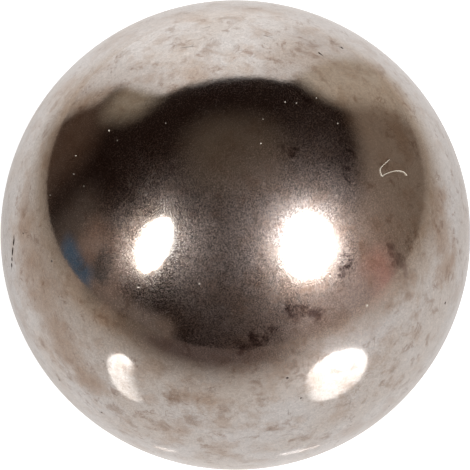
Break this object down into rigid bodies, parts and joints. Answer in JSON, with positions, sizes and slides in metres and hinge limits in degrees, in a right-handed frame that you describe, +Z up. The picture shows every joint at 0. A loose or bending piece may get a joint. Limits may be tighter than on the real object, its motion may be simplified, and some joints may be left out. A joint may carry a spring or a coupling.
{
  "type": "steel ball",
  "caption": "Solid polished steel ball with a worn, lightly nicked and stained surface, for bearings, valves, detents and bench work.",
  "frame": {"origin": "centre of the ball", "axes": "+Z up as the ball lies in the picture, -Y towards the viewer, +X to the viewer's right; the row of nicks is on the left, near -X"},
  "size_m": [0.019, 0.019, 0.019],
  "materials": {
    "worn_steel": "polished bare steel, dulled by fine wear, with faint brown stains, pits and dust"
  },
  "bodies": {
    "root": {"steel_ball": "worn_steel"}
  },
  "joints": []
}
